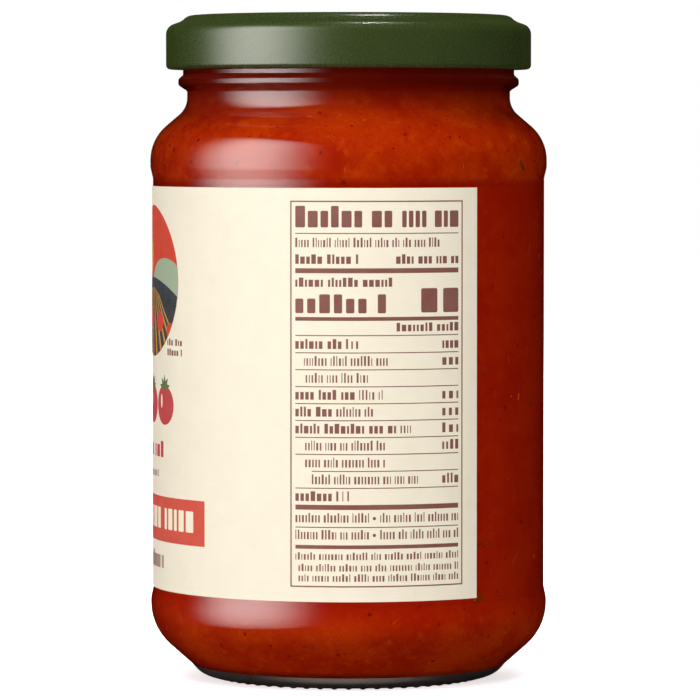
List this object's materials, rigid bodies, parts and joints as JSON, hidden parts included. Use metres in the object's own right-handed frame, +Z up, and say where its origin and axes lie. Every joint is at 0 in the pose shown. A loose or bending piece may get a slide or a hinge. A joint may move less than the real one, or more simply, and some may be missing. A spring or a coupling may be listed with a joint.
{
  "type": "tomato sauce jar",
  "caption": "Round clear glass jar of tomato sauce with a screw-on metal lid and a paper label that wraps most of the way round; it stands on a ribbed glass ring.",
  "frame": {"origin": "middle of the foot, on the surface that the jar stands on", "axes": "+Z up along the jar's axis of turning; -Y is the middle of the label's front; +X is the middle of its fact table"},
  "size_m": [0.0718, 0.0718, 0.1197],
  "materials": {
    "clear_glass": "clear polished soda-lime glass",
    "tomato_sauce": "food: wet cooked tomato sauce with specks of chilli, seed and herb; gloss_plastic stands in for it",
    "green_lacquer": "satin olive green lacquer on drawn tinplate",
    "cream_paper": "matt cream laid paper; fabric stands in for paper"
  },
  "bodies": {
    "root": {"glass_jar": "clear_glass", "sauce": "tomato_sauce", "lid": "green_lacquer", "label": "cream_paper"}
  },
  "joints": []
}
